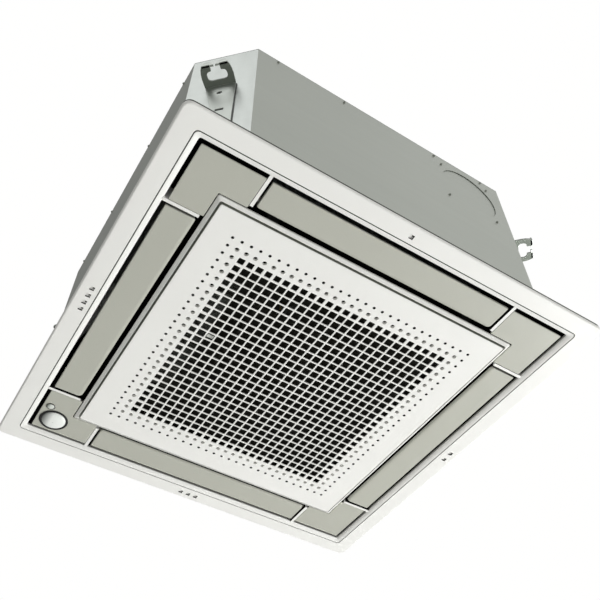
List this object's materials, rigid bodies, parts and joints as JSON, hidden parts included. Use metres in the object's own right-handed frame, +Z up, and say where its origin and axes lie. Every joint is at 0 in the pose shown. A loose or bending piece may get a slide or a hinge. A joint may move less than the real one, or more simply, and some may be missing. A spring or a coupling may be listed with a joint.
{
  "type": "ceiling cassette air conditioner",
  "caption": "Four-way ceiling cassette air conditioner: octagonal galvanised casing above a square white panel with grey air flaps, corner covers and a perforated intake grille.",
  "frame": {"origin": "the middle of the panel at the underside of the ceiling, which the panel's flange closes against", "axes": "+Z up into the ceiling void; -Y is the side with the fresh air knock-out, +X the side where the pipes leave"},
  "size_m": [0.6415, 0.62, 0.309],
  "materials": {
    "panel_white": "satin",
    "panel_grey": "satin",
    "plastic_black": "satin",
    "lens_pale": "gloss",
    "lens_dark": "gloss",
    "galvanised": "satin",
    "foam_white": "matte",
    "foam_seal": "matte",
    "aluminium_fin": "satin",
    "copper": "satin",
    "brass": "satin",
    "fan_plastic": "satin",
    "pale_plastic": "satin",
    "motor_steel": "satin",
    "filter_net": "matte",
    "laminate": "satin",
    "hose_rubber": "matte"
  },
  "bodies": {
    "cassette": {"casing_top": "galvanised", "casing_side_front": "galvanised", "casing_side_right": "galvanised", "casing_side_back": "galvanised", "casing_side_left": "galvanised", "casing_corner_front_left": "galvanised", "hanger_bracket_front_left": "galvanised", "corner_cover_front_left": "panel_grey", "casing_corner_front_right": "galvanised", "hanger_bracket_front_right": "galvanised", "corner_cover_front_right": "panel_grey", "casing_corner_back_right": "galvanised", "hanger_bracket_back_right": "galvanised", "corner_cover_back_right": "panel_grey", "casing_corner_back_left": "galvanised", "hanger_bracket_back_left": "galvanised", "corner_cover_back_left": "panel_grey", "foam_liner": "foam_white", "drain_pan": "foam_white", "coil_fin_pack": "aluminium_fin", "coil_end_plate": "copper", "bell_mouth": "fan_plastic", "fan_motor": "motor_steel", "fan_motor_bracket": "galvanised", "control_box": "galvanised", "control_box_lid": "galvanised", "control_board": "laminate", "terminal_block": "plastic_black", "drain_pump": "pale_plastic", "drain_hose": "hose_rubber", "drain_socket": "pale_plastic", "gas_pipe": "copper", "liquid_pipe": "copper", "gas_flare_nut": "brass", "liquid_flare_nut": "brass", "pipe_plate": "galvanised", "panel_frame": "panel_white", "duct_frame": "panel_white", "panel_seal": "foam_seal", "flap_motor_front": "motor_steel", "flap_motor_right": "motor_steel", "flap_motor_back": "motor_steel", "flap_motor_left": "motor_steel", "sensor_ring": "plastic_black", "sensor_dome": "lens_pale", "sensor_lens": "lens_dark"},
    "fan": {"turbo_fan": "fan_plastic", "fan_motor_shaft": "motor_steel", "fan_nut": "brass"},
    "pump_rotor": {"pump_impeller": "plastic_black"},
    "float": {"float_switch": "plastic_black"},
    "grille": {"intake_grille": "panel_white", "air_filter": "filter_net"},
    "latch_left": {"grille_latch_left": "plastic_black"},
    "latch_right": {"grille_latch_right": "plastic_black"},
    "flap_front": {"air_flap_front": "panel_grey"},
    "flap_right": {"air_flap_right": "panel_grey"},
    "flap_back": {"air_flap_back": "panel_grey"},
    "flap_left": {"air_flap_left": "panel_grey"}
  },
  "joints": [
    {"name": "flap_front_swing", "type": "hinge", "parent": "cassette", "child": "flap_front", "pos_m": [0, -0.2365, 0.002], "axis": [1, 0, 0], "range_deg": [0, 60]},
    {"name": "flap_right_swing", "type": "hinge", "parent": "cassette", "child": "flap_right", "pos_m": [0.2365, 0, 0.002], "axis": [0, 1, 0], "range_deg": [0, 60]},
    {"name": "flap_back_swing", "type": "hinge", "parent": "cassette", "child": "flap_back", "pos_m": [0, 0.2365, 0.002], "axis": [-1, 0, 0], "range_deg": [0, 60]},
    {"name": "flap_left_swing", "type": "hinge", "parent": "cassette", "child": "flap_left", "pos_m": [-0.2365, 0, 0.002], "axis": [0, -1, 0], "range_deg": [0, 60]},
    {"name": "grille_swing", "type": "hinge", "parent": "cassette", "child": "grille", "pos_m": [0, 0.221, -0.0047], "axis": [1, 0, 0], "range_deg": [0, 85]},
    {"name": "latch_left_slide", "type": "slide", "parent": "grille", "child": "latch_left", "axis": [0, 1, 0], "range_m": [0, 0.005], "stiffness_N_per_m": 120, "springref_m": -0.004},
    {"name": "latch_right_slide", "type": "slide", "parent": "grille", "child": "latch_right", "axis": [0, 1, 0], "range_m": [0, 0.005], "stiffness_N_per_m": 120, "springref_m": -0.004},
    {"name": "fan_spin", "type": "hinge", "parent": "cassette", "child": "fan", "pos_m": [0, 0, 0.19], "axis": [0, 0, 1], "continuous": true},
    {"name": "pump_rotor_spin", "type": "hinge", "parent": "cassette", "child": "pump_rotor", "pos_m": [0.224, 0.206, 0.067], "axis": [0, 0, 1], "continuous": true},
    {"name": "float_lift", "type": "slide", "parent": "cassette", "child": "float", "axis": [0, 0, 1], "range_m": [0, 0.008]}
  ]
}
